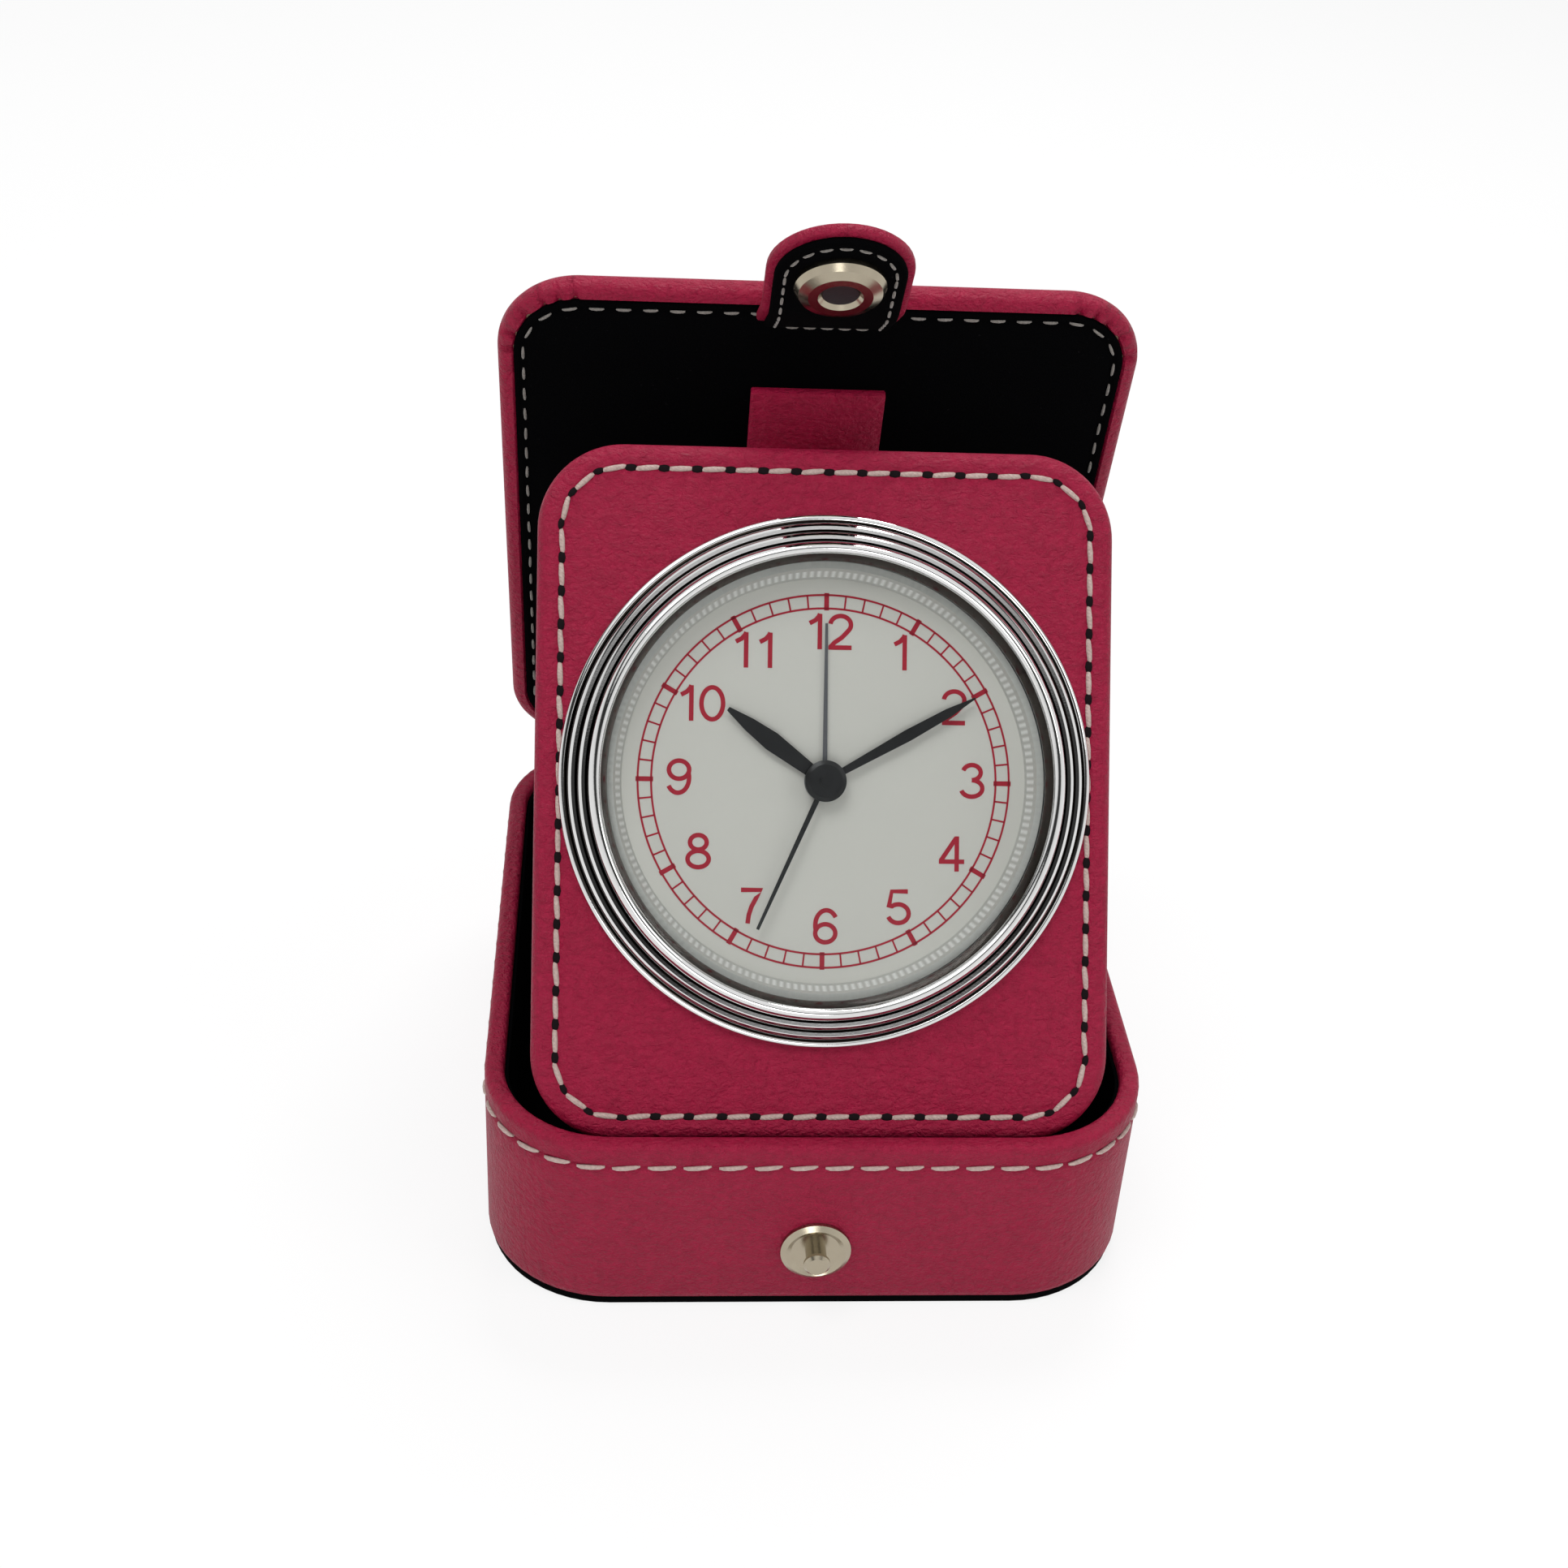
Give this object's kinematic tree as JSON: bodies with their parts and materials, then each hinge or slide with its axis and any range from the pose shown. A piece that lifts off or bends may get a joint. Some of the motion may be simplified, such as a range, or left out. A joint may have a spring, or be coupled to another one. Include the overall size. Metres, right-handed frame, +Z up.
{
  "type": "folding travel alarm clock",
  "caption": "Folding leather travel alarm clock: tray with snap stud, lid with snap tab, and a leaning panel that carries a round chrome insert clock.",
  "frame": {"origin": "centre of the face that the tray stands on, midway across its width and its depth", "axes": "+X to the clock's right as seen from the front, +Y to the back, +Z up"},
  "size_m": [0.083, 0.0992, 0.1248],
  "materials": {
    "pink_leather": "fine-grained leather, rolled edges, satin sheen",
    "board": "pressed card, hidden under the leather",
    "black_velour": "short-pile velour",
    "nickel": "nickel-plated brass, polished",
    "bezel_chrome": "chromed and turned in steps, polished",
    "crystal_glass": "clear flat crystal",
    "rehaut_grey": "grey ring with a fine serrated edge",
    "dial_paint": "pale silver-grey paint, satin",
    "case_plastic": "moulded black plastic",
    "grip_rubber": "black gasket rubber",
    "hand_black": "black paint, satin",
    "hand_grey": "grey paint, satin",
    "movement_plastic": "natural acetal",
    "wheel_brass": "cut brass",
    "rotor_magnet": "sintered magnet",
    "stator_steel": "plain steel",
    "coil_copper": "wound copper wire",
    "board_green": "printed circuit board"
  },
  "bodies": {
    "tray": {"tray_wrap": "pink_leather", "tray_board": "board", "tray_lining": "black_velour", "base_pad": "black_velour", "snap_stud": "nickel", "stud_rivet": "nickel", "lid_hinge_leather": "pink_leather", "panel_hinge_leather": "pink_leather"},
    "lid": {"lid_wrap": "pink_leather", "lid_board": "board", "lid_lining": "black_velour", "stay_strap": "pink_leather"},
    "tab": {"tab_leather": "pink_leather", "tab_lining": "black_velour", "snap_socket": "nickel", "snap_cap": "nickel"},
    "panel": {"panel_wrap": "pink_leather", "panel_board": "board", "panel_backing": "black_velour", "bezel": "bezel_chrome", "lens": "crystal_glass", "rehaut_ring": "rehaut_grey", "dial": "dial_paint", "clock_can": "case_plastic", "grip_ring": "grip_rubber", "clamp_ring": "case_plastic", "movement_plate": "movement_plastic", "movement_housing": "movement_plastic", "stator": "stator_steel", "coil": "coil_copper", "circuit_board": "board_green", "quartz_crystal": "stator_steel", "back_cover": "case_plastic", "cover_screws": "stator_steel", "battery": "stator_steel", "battery_contact": "wheel_brass", "sounder": "wheel_brass"},
    "second_train": {"second_hand": "hand_black", "hand_cap": "hand_black", "second_wheel": "movement_plastic"},
    "minute_train": {"minute_hand": "hand_black", "cannon_pinion": "wheel_brass"},
    "hour_train": {"hour_hand": "hand_black", "hour_wheel": "movement_plastic"},
    "alarm_train": {"alarm_hand": "hand_grey", "alarm_wheel": "movement_plastic"},
    "motion_wheel": {"motion_wheel": "movement_plastic"},
    "third_wheel": {"third_wheel": "wheel_brass"},
    "centre_wheel": {"centre_wheel": "wheel_brass"},
    "step_wheel": {"step_wheel": "movement_plastic"},
    "rotor": {"rotor": "rotor_magnet"},
    "time_knob": {"time_knob": "case_plastic"},
    "alarm_knob": {"alarm_knob": "case_plastic"},
    "alarm_switch": {"alarm_switch": "case_plastic"},
    "battery_cover": {"battery_cover": "case_plastic"}
  },
  "joints": [
    {"name": "lid_fold", "type": "hinge", "parent": "tray", "child": "lid", "pos_m": [0, 0.046, 0.0267], "axis": [1, 0, 0], "range_deg": [-16, 8], "deforming": ["lid_hinge_leather", "stay_strap"]},
    {"name": "panel_fold", "type": "hinge", "parent": "tray", "child": "panel", "pos_m": [0, -0.0427, 0.0245], "axis": [1, 0, 0], "range_deg": [-57, 0], "deforming": ["panel_hinge_leather"]},
    {"name": "tab_fold", "type": "hinge", "parent": "lid", "child": "tab", "pos_m": [0, 0.01931, 0.10635], "axis": [1, 0, 0], "range_deg": [-40, 45]},
    {"name": "second_spin", "type": "hinge", "parent": "panel", "child": "second_train", "pos_m": [0, -0.01874, 0.0614], "axis": [0, 0.8387, -0.5446], "continuous": true},
    {"name": "minute_spin", "type": "hinge", "parent": "panel", "child": "minute_train", "pos_m": [0, -0.01874, 0.0614], "axis": [0, 0.8387, -0.5446], "continuous": true},
    {"name": "hour_spin", "type": "hinge", "parent": "panel", "child": "hour_train", "pos_m": [0, -0.01874, 0.0614], "axis": [0, 0.8387, -0.5446], "continuous": true},
    {"name": "alarm_spin", "type": "hinge", "parent": "panel", "child": "alarm_train", "pos_m": [0, -0.01874, 0.0614], "axis": [0, 0.8387, -0.5446], "continuous": true},
    {"name": "motion_spin", "type": "hinge", "parent": "panel", "child": "motion_wheel", "pos_m": [0, -0.0152, 0.06685], "axis": [0, 0.8387, -0.5446], "continuous": true},
    {"name": "third_spin", "type": "hinge", "parent": "panel", "child": "third_wheel", "pos_m": [-0.00516, -0.0207, 0.05837], "axis": [0, 0.8387, -0.5446], "continuous": true},
    {"name": "centre_spin", "type": "hinge", "parent": "panel", "child": "centre_wheel", "pos_m": [0, -0.01874, 0.0614], "axis": [0, 0.8387, -0.5446], "continuous": true},
    {"name": "step_spin", "type": "hinge", "parent": "panel", "child": "step_wheel", "pos_m": [0.00564, -0.01985, 0.05968], "axis": [0, 0.8387, -0.5446], "continuous": true},
    {"name": "rotor_spin", "type": "hinge", "parent": "panel", "child": "rotor", "pos_m": [0.00794, -0.02202, 0.05634], "axis": [0, 0.8387, -0.5446], "continuous": true},
    {"name": "time_knob_spin", "type": "hinge", "parent": "panel", "child": "time_knob", "pos_m": [0.00939, -0.0171, 0.06392], "axis": [0, 0.8387, -0.5446], "continuous": true},
    {"name": "alarm_knob_spin", "type": "hinge", "parent": "panel", "child": "alarm_knob", "pos_m": [-0.00939, -0.0171, 0.06392], "axis": [0, 0.8387, -0.5446], "continuous": true},
    {"name": "alarm_switch_slide", "type": "slide", "parent": "panel", "child": "alarm_switch", "axis": [1, 0, 0], "range_m": [0, 0.003]},
    {"name": "battery_cover_turn", "type": "hinge", "parent": "panel", "child": "battery_cover", "pos_m": [0, -0.02876, 0.04597], "axis": [0, 0.8387, -0.5446], "range_deg": [0, 35]}
  ],
  "couplings": [
    {"joint": "hour_spin", "follows": "minute_spin", "ratio": 0.083333},
    {"joint": "motion_spin", "follows": "minute_spin", "ratio": -0.33333},
    {"joint": "time_knob_spin", "follows": "minute_spin", "ratio": 0.31579},
    {"joint": "alarm_knob_spin", "follows": "alarm_spin", "ratio": -1},
    {"joint": "third_spin", "follows": "second_spin", "ratio": -0.13333},
    {"joint": "centre_spin", "follows": "second_spin", "ratio": 0.016667},
    {"joint": "step_spin", "follows": "second_spin", "ratio": -5},
    {"joint": "rotor_spin", "follows": "second_spin", "ratio": 30}
  ]
}
